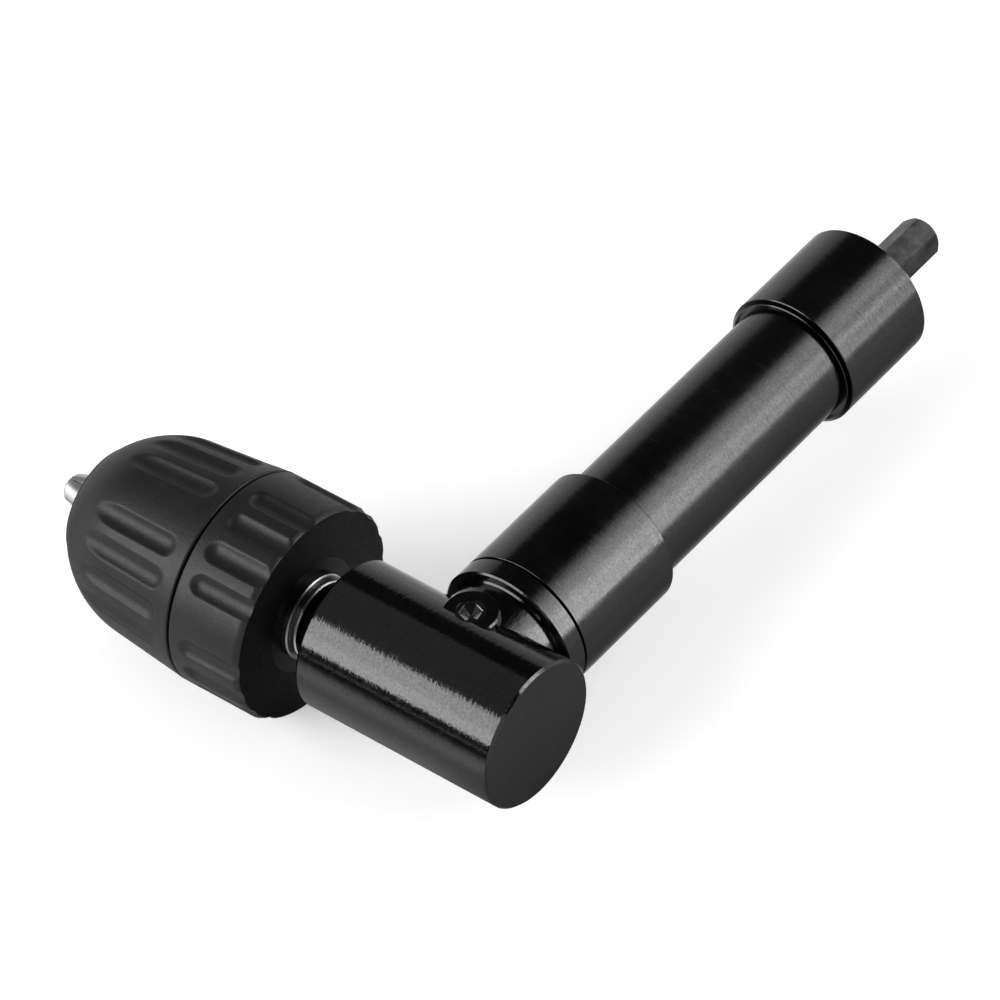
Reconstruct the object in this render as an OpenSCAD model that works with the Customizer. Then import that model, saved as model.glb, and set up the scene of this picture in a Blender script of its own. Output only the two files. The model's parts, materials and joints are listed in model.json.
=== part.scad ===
// Right angle drill attachment: a hex shank drives a shaft along a round arm, a pair of mitre gears
// turns the drive through 90 degrees, and a keyless three-jaw chuck sits on the output spindle.
// The arm lies along +X and the output spindle along +Y. Lengths are in millimetres.

/* [Gear head] */
// Wall of the head round the spindle's bearing
head_wall = 4.3; // [4:0.1:5]
// Arm axis to the closed end of the head
head_back = 20; // [19.5:0.5:26]
// Arm axis to the output end of the head
head_front = 26.2; // [26:0.2:29]
// Bevel on the rim of the output end
head_front_bevel = 1; // [0.4:0.1:1.4]
// Bevel on the rim of the closed end
head_back_bevel = 0.5; // [0.3:0.1:1]
// Height of the neck's surface over the arm tube's
neck_step = 0.25; // [0.15:0.05:1]
// Diameter of the round pad that carries the grease plug
pad_d = 11.2; // [10:0.2:12]
// Height of the pad's flat top over the neck
pad_h = 1.4; // [1.2:0.05:2.5]
// Output axis to the middle of the pad
pad_x = 7.65; // [7:0.05:8.5]
// Arm axis to the middle of the pad, towards the chuck
pad_y = 0.65; // [0:0.05:1]
// Thread diameter of the grease plug
plug_d = 6; // [5:0.5:8]

/* [Arm] */
// Output axis to the front face of the lock ring
arm_start = 16.7; // [16.4:0.1:18]
// Width of the lock ring
ring_w = 4.6; // [3:0.2:6]
// Thickness of the lock ring and the coupling sleeve round the tube
sleeve_wall = 2.35; // [2:0.05:3.5]
// Length of the coupling sleeve
sleeve_len = 27.4; // [25:0.2:34]
// Wall of the head's spigot round the pinion's bearings, which also sets the tube's outer diameter
bearing_wall = 1.65; // [1.5:0.05:2.2]
// Wall of the arm tube
tube_wall = 4.65; // [3.5:0.05:5.5]
// Length of tube that shows between the sleeve and the rear collar
tube_show = 57.6; // [30:0.2:120]
// Thickness of the rear collar round the tube
collar_wall = 2; // [1.6:0.1:3.5]
// Length of the rear collar
collar_len = 25.3; // [22:0.1:34]
// Length of tube held in the rear collar
tube_grip = 11.5; // [8:0.5:13]

/* [Drive shaft] */
// Width across the flats of the hex shank
shank_af = 8; // [7:0.05:8.5]
// Length of shank that stands out of the collar
shank_len = 19.8; // [15:0.2:35]
// Bevel on the end of the shank
shank_bevel = 1.1; // [0.5:0.1:1.6]
// Diameter of the shaft between the bearings, and of the spindle in its front bearing
shaft_d = 10; // [9.4:0.1:10.6]
// Radial thickness of the three large ball bearings
bearing_section = 6; // [5.4:0.1:6.8]
// Turn of the hex about its axis, in degrees
shank_turn = -6.5; // [-30:0.5:30]

/* [Mitre gears] */
// Teeth on each of the two gears
gear_teeth = 16; // [14:1:16]
// Module at the large end of the teeth
gear_module = 1.1; // [1:0.01:1.12]
// Width of the teeth along the pitch cone
gear_face = 4; // [3:0.1:4.2]
// Play between the flanks of the two gears
gear_play = 0.16; // [0.12:0.02:0.3]
// Length of the pinion's hub behind its teeth
pinion_hub = 3.2; // [2.6:0.1:3.6]
// Length of the output gear's hub behind its teeth
output_hub = 2.8; // [2.4:0.1:3.4]

/* [Chuck] */
// Arm axis to the back of the chuck
chuck_back = 34.1; // [33.6:0.1:37]
// Outer diameter of the chuck
chuck_d = 44.4; // [44:0.1:48]
// Length of the rear sleeve
rear_sleeve_len = 16.85; // [16.4:0.05:18.4]
// Gap between the two sleeves
sleeve_gap = 0.5; // [0.3:0.05:0.8]
// How much the radius of the front sleeve falls along its taper
taper_drop = 1.65; // [1:0.05:2.4]
// Length of the tapered part of the front sleeve
taper_len = 17.9; // [16:0.1:19]
// Length of the dome
dome_len = 15.8; // [15:0.1:17]
// Diameter of the nose, where the dome ends
nose_d = 25; // [23:0.1:26]
// Largest shank that the jaws open to
grip_max = 10; // [6:0.5:10]
// Diameter of a jaw
jaw_d = 5.4; // [5:0.1:6.6]
// Length of a jaw
jaw_len = 36; // [34:0.5:37]
// Turn of the three jaws from +Z away from +X, in degrees
jaw_turn = 70; // [0:5:115]
// Length of closed jaw that stands out past the front sleeve
jaw_out = 9.35; // [8.5:0.05:10]

/* [Chuck grip] */
// Grooves in each group, with one left out between groups
grooves_in_group = 4; // [2:1:5]
// Groups of grooves round a sleeve
groove_groups = 4; // [3:1:5]
// Width of a groove at the surface
groove_w = 4.4; // [3:0.1:4.6]
// Depth of a groove
groove_depth = 0.95; // [0.5:0.05:1.2]
// Plain band between the seam and the round ends of the rear grooves
rear_band = 2.6; // [1.5:0.1:4]
// Plain band between the seam and the round ends of the front grooves
front_band = 3.3; // [2:0.1:5]
// Turn of the rear sleeve's plain lands from +X towards +Z, in degrees
rear_turn = 66; // [0:1:90]
// Turn of the front sleeve's plain lands from +X towards +Z, in degrees
front_turn = 20; // [0:1:90]

/* [Hidden] */
$fn = 48;

// Clearances shared by every piece
cut = 1;              // overrun of a cut past the face that it opens
seat_gap = 0.02;      // radial clearance of a pressed or screwed seat
run_gap = 0.08;       // radial clearance of a piece that turns or slides in another
race_gap = 0.06;      // clearance between a ball and its race

// Ball bearings, each given as [bore, outer diameter, width]
journal_step = 1;     // journals of the pinion and of the spindle's tail below the shaft
cap_wall = 3;         // end cap's wall round the tail bearing
pinion_bearing_w = 7;
rear_bearing_w = 6;
spindle_bearing_w = 6;
tail_bearing_w = 5;
journal_d = shaft_d - 2 * journal_step;
bearing_d = shaft_d + 2 * bearing_section;
pinion_bearing = [journal_d, bearing_d, pinion_bearing_w];
rear_bearing = [shaft_d, bearing_d, rear_bearing_w];
spindle_bearing = [shaft_d, bearing_d, spindle_bearing_w];
tail_bearing = [journal_d, bearing_d - 2 * cap_wall, tail_bearing_w];
tube_d = bearing_d + 2 * bearing_wall;
head_d = bearing_d + 2 * head_wall;
race_share = 0.25;    // thickness of a race as a share of the bearing's section
ball_share = 0.57;    // ball diameter as a share of the bearing's section
ball_pitch_share = 1.6; // least distance from ball to ball as a share of their diameter
cage_share = 0.15;    // thickness of the cage as a share of the bearing's section
cage_lip = 0.45;      // width of cage on each side of a ball
shield_t = 0.45;      // thickness of a bearing's shields
shield_gap = 0.2;     // gap between a shield and the inner ring

// Mitre gears: the two pitch cones meet at the crossing of the axes
pitch_cone = 45;
pressure_angle = 20;
flank_steps = 4;
dedendum_share = 1.25;
root_widening = 0.4;  // degrees by which a tooth widens at its root
pitch_r = gear_module * gear_teeth / 2;
cone_dist = pitch_r / sin(pitch_cone);
addendum = gear_module;
dedendum = dedendum_share * gear_module;
small_end_share = (cone_dist - gear_face) / cone_dist;
gear_back = pitch_r + dedendum * sin(pitch_cone);
gear_tip_r = pitch_r + addendum * cos(pitch_cone);
small_face = gear_back * small_end_share;
pinion_hub_r = 6;
journal_r = journal_d / 2;
pinion_seat_step = 0.6; // pinion's seat below the journal
output_seat_step = 0.2; // output gear's seat over the tail journal
pinion_seat_r = journal_r - pinion_seat_step;
output_seat_r = journal_r + output_seat_step;
pin_d = 2;
key_w = 1.6;
key_len = 4;
key_depth = 0.8;

// Stations along the arm, from the output axis
shoulder_x = gear_back + pinion_hub;
spacer_len = 7;
second_bearing_x = shoulder_x + pinion_bearing[2] + spacer_len;
bearings_end = second_bearing_x + pinion_bearing[2];
circlip_w = 1.1;
circlip_gap = 0.1;
circlip_bite = 0.5;   // depth of a circlip in its groove
circlip_t = 1.3;      // radial width of a circlip
spigot_lip = 1.3;
spigot_end = bearings_end + circlip_w + 2 * circlip_gap + spigot_lip;
tube_gap = 1;
tube_start = spigot_end + tube_gap;
ring_end = arm_start + ring_w;
sleeve_r = tube_d / 2 + sleeve_wall;
collar_r = tube_d / 2 + collar_wall;
sleeve_end = ring_end + sleeve_len;
collar_start = sleeve_end + tube_show;
tube_end = collar_start + tube_grip;
rear_bearing_end = tube_end + rear_bearing[2];
collar_end = collar_start + collar_len;
hex_start = rear_bearing_end + circlip_w + 2 * circlip_gap + cut;
shank_end = collar_end + shank_len;
shank_r = shank_af / 2 / cos(30);
mid_shaft_r = shaft_d / 2 - seat_gap;
ring_bevel = 0.3;
sleeve_bevel = 0.35;
collar_bevel = 0.9;
collar_end_bevel = 0.5;
collar_lip = 1;       // radial width of the shallow recess round the tube
collar_lip_depth = 0.8;
shank_hole_gap = 0.6; // clearance of the shank in the collar's end wall
collar_end_t = 1.6;   // end wall of the collar
circlip_clear = 0.3;
circlip_room_r = shaft_d / 2 + circlip_t + circlip_clear;

// Gear head
head_r = head_d / 2;
head_bore_r = spindle_bearing[1] / 2 + seat_gap;
arm_bore_r = pinion_bearing[1] / 2 + seat_gap;
gear_room = 0.35;     // clearance round the pinion's teeth
spigot_r = tube_d / 2;
neck_r = spigot_r + neck_step;
neck_flare = 0.3;     // flare of the neck at the lock ring
pad_top = neck_r + pad_h;
pad_bevel = 0.35;
plug_sink = 0.12;     // depth of the plug's head under the pad
plug_len = 3.2;
plug_af = 4;
plug_turn = 12.5;     // turn of the plug's socket about its axis, in degrees
plug_socket_depth = 0.3;
plug_socket_taper = 0.9; // depth of the socket's six-sided taper
cap_rim = 0.15;       // land between the cap and the bevel on the head
cap_flange_r = head_r - head_back_bevel - cap_rim - seat_gap;
cap_flange_t = 1.2;
cap_floor = 3.2;      // closed end of the head to the tail bearing
cap_over = 0.4;       // cap's wall past the tail bearing
cap_relief_w = 1.6;   // recess under the tail bearing's inner ring
cap_relief_depth = 0.6;
tail_bearing_y = -head_back + cap_floor;
cap_end = tail_bearing_y + tail_bearing[2] + cap_over;
cap_relief_r = tail_bearing[0] / 2 + cap_relief_w;

// Stations along the output spindle, from the arm axis
output_bearing_y = gear_back + output_hub;
output_bearing_end = output_bearing_y + spindle_bearing[2];
seal_start_gap = 1.2;
seal_w = 3;
seal_wall = 1.8;
spindle_step = 1.5;   // spindle's stem over its front bearing's bore
spindle_r = shaft_d / 2 + spindle_step;
outer_ring_step = 2.4; // shoulder that the chuck screws up against, over the stem
outer_ring_r = spindle_r + outer_ring_step;
outer_ring_t = 1.1;
key_ring_step = 1.6;  // ring with two flats for a spanner, over the stem
key_ring_r = spindle_r + key_ring_step;
key_ring_t = 1.4;
key_flat_in = 0.275;  // spanner's flats below the ring
key_ring_af = 2 * (key_ring_r - key_flat_in);
key_turn = 139;       // turn of the spanner's flats from +X towards +Z, in degrees
spindle_bevel = 0.25;
front_wall_r = spindle_r + seal_wall;
nose_thread_r = 4.76;
nose_thread_len = 15.6;
thread_end_gap = 0.2;
outer_ring_y = chuck_back - outer_ring_t;
key_ring_y = outer_ring_y - key_ring_t;

// Chuck
chuck_r = chuck_d / 2;
seam = chuck_back + rear_sleeve_len;
front_start = seam + sleeve_gap;
dome_start = front_start + taper_len;
nose_y = dome_start + dome_len;
dome_r = chuck_r - taper_drop;
nose_r = nose_d / 2;
jaw_r = jaw_d / 2;
jaw_tip = nose_y + jaw_out;
jaw_room = 0.1;       // clearance of a jaw in its bore
jaw_split = 0.06;     // half of the gap between closed jaws
jaw_bevel = 0.6;
jaw_tail_room = 1;
sleeve_rim_bevel = 0.7;
sleeve_rim_len = 1.1; // length of the bevel on the rear rim
seam_bevel = 0.25;
rear_wall_t = 2;
hub_r = 12;
rear_sleeve_wall = 2.8;
flange_r = chuck_r - rear_sleeve_wall; // body where the rear sleeve is pressed on
flange_sink = 0.95;   // flange below the edge of the rear sleeve
flange_end = seam - flange_sink;
shoulder_len = 6;
shoulder_end = flange_end + shoulder_len;
dome_wall = 2.4;      // front sleeve's wall where its dome begins
nut_collar_t = 0.95;
nut_collar_r = dome_r - dome_wall - seat_gap;
race_r = nut_collar_r - nut_collar_t - seat_gap;
race_w = 2.5;         // radial width of a race
race_in_r = race_r - race_w;
race_t = 0.9;
race_clear = 0.25;    // races round the jaws
shoulder_in = 0.1;    // shoulder below the race that it carries
shoulder_r = race_r - shoulder_in;
thrust_ball_d = 2;
thrust_ball_count = 20;
thrust_r = (race_r + race_in_r) / 2;
race_front_y = shoulder_end + race_t + thrust_ball_d + 2 * race_gap;
nut_start = race_front_y + race_t;
nut_len = 7;
nut_end = nut_start + nut_len;
nut_gap = 0.15;       // clearance of the nut's cone round the jaws
nut_split = 0.1;      // half of the gap between the two nut halves
nut_end_gap = 0.2;
front_land_y = nut_end + nut_end_gap;
front_land_in = 5.4;  // body's front land below the dome
front_land_r = dome_r - front_land_in;
core_clear = 0.65;    // body inside the nut
sleeve_clear = 0.3;   // front sleeve round the body's nose
nose_cone_len = 8;    // length of the body's cone inside the dome
nose_bevel = 0.4;     // bevel between the dome and the front sleeve's flat end
nose_lip_w = 3.4;     // width of the flat end, from the nose's edge to the mouth
body_nose_out = 0.4;  // body's nose past the front sleeve
front_land_end = nose_y - nose_cone_len;
mouth_r = nose_r - nose_lip_w;
body_nose_r = mouth_r - sleeve_clear;
body_nose_y = nose_y + body_nose_out;
bit_bore_r = 5.2;
bit_floor = 2;        // floor of the bit's bore past the flange
bit_bore_floor = flange_end + bit_floor;
screw_clear = 0.3;    // screw's shank in the body
screw_d = 5;
screw_head_d = 8.4;
screw_head_h = 2.6;
screw_len = 18;
screw_slot_w = 1.2;
screw_slot_depth = 1.2;
dome_steps = 16;

// The jaws lean so that each lies just inside the rear race
lean_run = jaw_tip - shoulder_end;
lean_reach = race_in_r - race_clear;
jaw_lean = acos(jaw_r / norm([lean_run, lean_reach])) - atan2(lean_run, lean_reach);
jaw_spread = jaw_r / cos(jaw_lean);
jaw_travel = grip_max / 2 / sin(jaw_lean);
core_r = jaw_reach(nut_end) + nut_gap - core_clear;

// Chuck grip
grooves_left_out = 1; // grooves left out between two groups
groove_pitch = 360 / (groove_groups * (grooves_in_group + grooves_left_out));
cutter_r = (groove_w * groove_w / 4 + groove_depth * groove_depth) / (2 * groove_depth);
rear_cutter_y = seam - rear_band - groove_w / 2;

// The part's frame: middle of its box, on the plane that its lowest point touches
x_mid = (shank_end - chuck_r) / 2;
y_mid = (jaw_tip - head_back) / 2;
axis_height = chuck_r;

// Distance of a jaw's centre line, and of its outer side, from the chuck's axis at the closed position
function jaw_axis_r(y) = (jaw_tip - y) * tan(jaw_lean);
function jaw_reach(y) = jaw_axis_r(y) + jaw_spread;

module in_frame() translate([-x_mid, -y_mid, axis_height]) children();
module along_arm(x = 0) in_frame() translate([x, 0, 0]) rotate([0, 90, 0]) children();
module along_output(y = 0) in_frame() translate([0, y, 0]) rotate([-90, 0, 0]) children();

// A solid of revolution from [radius, height] points
module turned(points) rotate_extrude() polygon(points);

// A plain tube
module ring(r_out, r_in, length) turned([[r_in, 0], [r_out, 0], [r_out, length], [r_in, length]]);

// Deep-groove ball bearing, split into its two rings and its balls in their cage
function section(b) = (b[1] - b[0]) / 2;
function ball_ring_r(b) = (b[1] + b[0]) / 4;
function ball_r(b) = min(ball_share * section(b) / 2, b[2] / 2 - shield_t - cage_lip - race_gap);
function balls(b) = floor(PI * ball_ring_r(b) / ball_r(b) / ball_pitch_share);
function inner_race_r(b) = b[0] / 2 + race_share * section(b);
function outer_race_r(b) = b[1] / 2 - race_share * section(b);

module race_groove(b) rotate_extrude() translate([ball_ring_r(b), b[2] / 2]) circle(ball_r(b) + race_gap);

module bearing_outer(b) {
    shield_r = inner_race_r(b) + shield_gap;
    difference() {
        turned([
            [shield_r, 0], [b[1] / 2, 0], [b[1] / 2, b[2]], [shield_r, b[2]],
            [shield_r, b[2] - shield_t], [outer_race_r(b), b[2] - shield_t],
            [outer_race_r(b), shield_t], [shield_r, shield_t]
        ]);
        race_groove(b);
    }
}

module bearing_inner(b) difference() {
    ring(inner_race_r(b), b[0] / 2 + seat_gap, b[2]);
    race_groove(b);
}

module bearing_balls(b) {
    half = cage_share * section(b) / 2;
    cage_w = 2 * (ball_r(b) + cage_lip);
    for (i = [0 : balls(b) - 1])
        rotate(i * 360 / balls(b)) translate([ball_ring_r(b), 0, b[2] / 2]) sphere(ball_r(b));
    difference() {
        translate([0, 0, (b[2] - cage_w) / 2]) ring(ball_ring_r(b) + half, ball_ring_r(b) - half, cage_w);
        for (i = [0 : balls(b) - 1])
            rotate(i * 360 / balls(b)) translate([ball_ring_r(b) - ball_r(b), 0, b[2] / 2])
                rotate([0, 90, 0]) cylinder(r = ball_r(b) + race_gap, h = 2 * ball_r(b));
    }
}

// Mitre gear with its apex at the origin and its large end up. The tooth's involute is drawn on the
// back cone laid flat, then wrapped round it; both ends of a tooth run to the apex.
flat_r = pitch_r / cos(pitch_cone);
base_r = flat_r * cos(pressure_angle);
tip_flat_r = flat_r + addendum;
root_flat_r = flat_r - dedendum;
half_tooth = 90 / (gear_teeth / cos(pitch_cone)) - gear_play / 2 / flat_r * 180 / PI / 2;
function involute(a) = tan(a) * 180 / PI - a;
function half_angle(r) = half_tooth + involute(pressure_angle) - involute(acos(min(1, base_r / r)));
flank = [
    [root_flat_r, half_angle(base_r) + root_widening],
    for (i = [0 : flank_steps])
        let (r = base_r + (tip_flat_r - base_r) * i / flank_steps) [r, half_angle(r)]
];
tooth = concat(
    [for (p = flank) [p[0], -p[1]]],
    [for (i = [len(flank) - 1 : -1 : 0]) flank[i]]
);
function on_back_cone(p, turn, share) =
    let (r = p[0] * cos(pitch_cone), a = turn + p[1] / cos(pitch_cone))
    share * [r * cos(a), r * sin(a), pitch_r / pow(sin(pitch_cone), 2) - p[0] * sin(pitch_cone)];
function tooth_ring(share) = [
    for (i = [0 : gear_teeth - 1], p = tooth) on_back_cone(p, i * 360 / gear_teeth, share)
];

module gear_teeth_solid() {
    n = gear_teeth * len(tooth);
    polyhedron(
        points = concat(
            tooth_ring(1), tooth_ring(small_end_share), [[0, 0, gear_back], [0, 0, small_face]]
        ),
        faces = concat(
            [for (i = [0 : n - 1]) let (j = (i + 1) % n) [i, j, n + j, n + i]],
            [for (i = [0 : n - 1]) [2 * n, (i + 1) % n, i]],
            [for (i = [0 : n - 1]) [2 * n + 1, n + i, n + (i + 1) % n]]
        )
    );
}

module mitre_gear(seat_r, hub_len) difference() {
    union() {
        gear_teeth_solid();
        translate([0, 0, gear_back - dedendum]) cylinder(r = pinion_hub_r, h = dedendum + hub_len);
    }
    cylinder(r = seat_r + seat_gap, h = gear_back + hub_len + cut);
}

// External circlip: an open ring
module circlip(r_in) difference() {
    ring(r_in + circlip_t, r_in, circlip_w);
    translate([r_in / 2, -circlip_t / 2, -cut])
        cube([r_in + 2 * circlip_t, circlip_t, circlip_w + 2 * cut]);
}

// Gear head: round head, neck and spigot with the pad for the grease plug
module gear_head() color("#1b1b1c") difference() {
    union() {
        along_output() turned([
            [0, -head_back], [head_r - head_back_bevel, -head_back],
            [head_r, -head_back + head_back_bevel], [head_r, head_front - head_front_bevel],
            [head_r - head_front_bevel, head_front], [0, head_front]
        ]);
        along_arm() turned([
            [0, 0], [neck_r, 0], [neck_r, arm_start - neck_flare], [neck_r + neck_flare, arm_start],
            [0, arm_start]
        ]);
        along_arm() cylinder(r = spigot_r - seat_gap, h = spigot_end);
        in_frame() translate([pad_x, pad_y, 0]) turned([
            [0, 0], [pad_d / 2, 0], [pad_d / 2, pad_top - pad_bevel],
            [pad_d / 2 - pad_bevel, pad_top], [0, pad_top]
        ]);
    }
    along_output(-head_back - cut) cylinder(r = cap_flange_r + seat_gap, h = cap_flange_t + cut);
    along_output(-head_back) cylinder(r = head_bore_r, h = head_back + output_bearing_end);
    along_output() cylinder(r = front_wall_r, h = head_front + cut);
    along_arm() cylinder(r = gear_tip_r + gear_room, h = shoulder_x + cut);
    along_arm(shoulder_x) cylinder(r = arm_bore_r, h = spigot_end);
    along_arm(bearings_end + circlip_gap / 2)
        cylinder(r = arm_bore_r + circlip_bite, h = circlip_w + circlip_gap);
    in_frame() translate([pad_x, pad_y, 0]) cylinder(r = plug_d / 2, h = pad_top + cut);
}

// End cap: closes the head and carries the spindle's tail bearing
module end_cap() color("#2a2a2b") along_output() turned([
    [0, -head_back], [cap_flange_r, -head_back], [cap_flange_r, -head_back + cap_flange_t],
    [head_bore_r - seat_gap, -head_back + cap_flange_t], [head_bore_r - seat_gap, cap_end],
    [tail_bearing[1] / 2 + seat_gap, cap_end], [tail_bearing[1] / 2 + seat_gap, tail_bearing_y],
    [cap_relief_r, tail_bearing_y], [cap_relief_r, tail_bearing_y - cap_relief_depth],
    [0, tail_bearing_y - cap_relief_depth]
]);

// Socket set screw that closes the grease hole in the pad
module grease_plug() color("#3a3a3c") in_frame()
    translate([pad_x, pad_y, pad_top - plug_sink - plug_len]) difference() {
        cylinder(r = plug_d / 2 - seat_gap, h = plug_len);
        translate([0, 0, plug_len - plug_socket_depth]) rotate(plug_turn) {
            cylinder(r = plug_af / 2 / cos(30), h = plug_socket_depth + cut, $fn = 6);
            translate([0, 0, -plug_socket_taper])
                cylinder(r1 = 0, r2 = plug_af / 2 / cos(30), h = plug_socket_taper, $fn = 6);
        }
    }

// Rubber seal between the spindle and the head's front wall
module spindle_seal() color("#202020") along_output(output_bearing_end + seal_start_gap)
    ring(front_wall_r - seat_gap, spindle_r + run_gap, seal_w);

// Lock ring, screwed on the spigot in front of the sleeve
module lock_ring() color("#1b1b1c") along_arm(arm_start) turned([
    [spigot_r, 0], [sleeve_r - ring_bevel, 0], [sleeve_r, ring_bevel],
    [sleeve_r, ring_w - sleeve_bevel], [sleeve_r - sleeve_bevel, ring_w], [spigot_r, ring_w]
]);

// Coupling sleeve, which joins the spigot and the arm tube
module coupling_sleeve() color("#1b1b1c") along_arm(ring_end) turned([
    [spigot_r + seat_gap, 0], [sleeve_r - sleeve_bevel, 0], [sleeve_r, sleeve_bevel],
    [sleeve_r, sleeve_len - sleeve_bevel], [sleeve_r - sleeve_bevel, sleeve_len],
    [spigot_r + seat_gap, sleeve_len]
]);

// Arm tube
module arm_tube() color("#1b1b1c") along_arm(tube_start)
    ring(tube_d / 2, tube_d / 2 - tube_wall, tube_end - tube_start);

// Rear collar, which holds the rear bearing against the end of the tube
module rear_collar() color("#1b1b1c") along_arm(collar_start) turned([
    [tube_d / 2 + collar_lip, 0], [collar_r - collar_bevel, 0], [collar_r, collar_bevel],
    [collar_r, collar_len - collar_end_bevel], [collar_r - collar_end_bevel, collar_len],
    [shank_r + shank_hole_gap, collar_len], [shank_r + shank_hole_gap, collar_len - collar_end_t],
    [circlip_room_r, collar_len - collar_end_t], [circlip_room_r, rear_bearing_end - collar_start],
    [rear_bearing[1] / 2 + seat_gap, rear_bearing_end - collar_start],
    [rear_bearing[1] / 2 + seat_gap, tube_grip], [tube_d / 2 + seat_gap, tube_grip],
    [tube_d / 2 + seat_gap, collar_lip_depth], [tube_d / 2 + collar_lip, collar_lip_depth]
]);

// Internal circlip behind the pinion's two bearings
module bearing_circlip() color("#8f9194") along_arm(bearings_end + circlip_gap) difference() {
    ring(arm_bore_r + circlip_bite - seat_gap, arm_bore_r - circlip_t, circlip_w);
    translate([0, -circlip_t / 2, -cut]) cube([arm_bore_r + circlip_t, circlip_t, circlip_w + 2 * cut]);
}

module pinion_bearing_outers() color("#a9acb0")
    for (x = [shoulder_x, second_bearing_x]) along_arm(x) bearing_outer(pinion_bearing);
module pinion_bearing_inners() color("#b4b7bb")
    for (x = [shoulder_x, second_bearing_x]) along_arm(x) bearing_inner(pinion_bearing);
module pinion_bearing_balls() color("#c9ccd0")
    for (x = [shoulder_x, second_bearing_x]) along_arm(x) bearing_balls(pinion_bearing);

module rear_bearing_outer() color("#a9acb0") along_arm(tube_end) bearing_outer(rear_bearing);
module rear_bearing_inner() color("#b4b7bb") along_arm(tube_end) bearing_inner(rear_bearing);
module rear_bearing_balls() color("#c9ccd0") along_arm(tube_end) bearing_balls(rear_bearing);

module spindle_bearing_outer() color("#a9acb0") along_output(output_bearing_y)
    bearing_outer(spindle_bearing);
module spindle_bearing_inner() color("#b4b7bb") along_output(output_bearing_y)
    bearing_inner(spindle_bearing);
module spindle_bearing_balls() color("#c9ccd0") along_output(output_bearing_y)
    bearing_balls(spindle_bearing);

module tail_bearing_outer() color("#a9acb0") along_output(tail_bearing_y) bearing_outer(tail_bearing);
module tail_bearing_inner() color("#b4b7bb") along_output(tail_bearing_y) bearing_inner(tail_bearing);
module tail_bearing_balls() color("#c9ccd0") along_output(tail_bearing_y) bearing_balls(tail_bearing);

// Drive shaft: pinion seat, bearing journal, shaft and hex shank
module drive_shaft() color("#3c3c3e") difference() {
    union() {
        along_arm(small_face) cylinder(r = pinion_seat_r, h = shoulder_x - small_face + cut);
        along_arm(shoulder_x) cylinder(r = journal_r, h = bearings_end - shoulder_x + circlip_gap);
        along_arm(bearings_end) cylinder(r = mid_shaft_r, h = hex_start - bearings_end);
        intersection() {
            along_arm(hex_start - cut) rotate(shank_turn)
                cylinder(r = shank_r, h = shank_end - hex_start + cut, $fn = 6);
            along_arm() turned([
                [0, 0], [shank_r + cut, 0], [shank_r + cut, shank_end - shank_bevel - cut],
                [shank_r - shank_bevel, shank_end], [0, shank_end]
            ]);
        }
    }
    for (x = [tube_end - circlip_w - circlip_gap, rear_bearing_end + circlip_gap])
        along_arm(x) ring(shaft_d, mid_shaft_r - circlip_bite, circlip_w);
    pinion_pin_hole();
}

// Pinion, in mesh with the output gear
module pinion() color("#77797c") difference() {
    along_arm() rotate(90 + 180 / gear_teeth) mitre_gear(pinion_seat_r, pinion_hub);
    pinion_pin_hole();
}

// Cross pin through the pinion's hub and the shaft
module cross_pin(r, half) in_frame() translate([gear_back + pinion_hub / 2, 0, -half])
    cylinder(r = r, h = 2 * half);
module pinion_pin_hole() cross_pin(pin_d / 2, pinion_hub_r + cut);
module pinion_pin() color("#9a9da1") cross_pin(pin_d / 2 - seat_gap, pinion_hub_r);

// Spacer between the inner rings of the pinion's bearings
module bearing_spacer() color("#8c8e92") along_arm(shoulder_x + pinion_bearing[2])
    ring(inner_race_r(pinion_bearing), journal_r + seat_gap, spacer_len);

// Two circlips that hold the rear bearing on the shaft
module shaft_circlips() color("#8f9194")
    for (x = [tube_end - circlip_w - circlip_gap, rear_bearing_end + circlip_gap])
        along_arm(x) circlip(mid_shaft_r - circlip_bite + seat_gap);

// Output spindle, from its tail journal to the thread inside the chuck
module output_spindle() color("#b9bcc0") difference() {
    along_output() turned([
        [0, tail_bearing_y], [tail_bearing[0] / 2, tail_bearing_y], [tail_bearing[0] / 2, small_face],
        [output_seat_r, small_face], [output_seat_r, output_bearing_y],
        [spindle_bearing[0] / 2, output_bearing_y], [spindle_bearing[0] / 2, output_bearing_end],
        [spindle_r, output_bearing_end], [spindle_r, key_ring_y],
        [key_ring_r - spindle_bevel, key_ring_y],
        [key_ring_r, key_ring_y + spindle_bevel], [key_ring_r, outer_ring_y],
        [outer_ring_r - spindle_bevel, outer_ring_y], [outer_ring_r, outer_ring_y + spindle_bevel],
        [outer_ring_r, chuck_back], [nose_thread_r - seat_gap, chuck_back],
        [nose_thread_r - seat_gap, chuck_back + nose_thread_len], [0, chuck_back + nose_thread_len]
    ]);
    along_output(key_ring_y) for (side = [0, 180])
        rotate(side - key_turn) translate([key_ring_af / 2, -key_ring_r, -cut])
            cube([key_ring_r, 2 * key_ring_r, key_ring_t + cut]);
    along_output(bit_bore_floor - screw_len - cut) cylinder(d = screw_d, h = screw_len + cut);
    along_output() key_bar(0);
}

// Output gear, keyed to the spindle
module output_gear() color("#77797c") difference() {
    along_output() mitre_gear(output_seat_r, output_hub);
    along_output() key_bar(0);
}

// Parallel key, half in the spindle and half in the gear, on the side away from the pinion
module key_bar(gap)
    translate([-output_seat_r - key_depth + gap, -key_w / 2 + gap, output_bearing_y - key_len + gap])
        cube([2 * (key_depth - gap), key_w - 2 * gap, key_len - 2 * gap]);
module gear_key() color("#9a9da1") along_output() key_bar(seat_gap);

// Turns the chuck's pieces that lean with jaw number i
module jaw_place(i) rotate(-90 - jaw_turn - i * 120) children();

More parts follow.
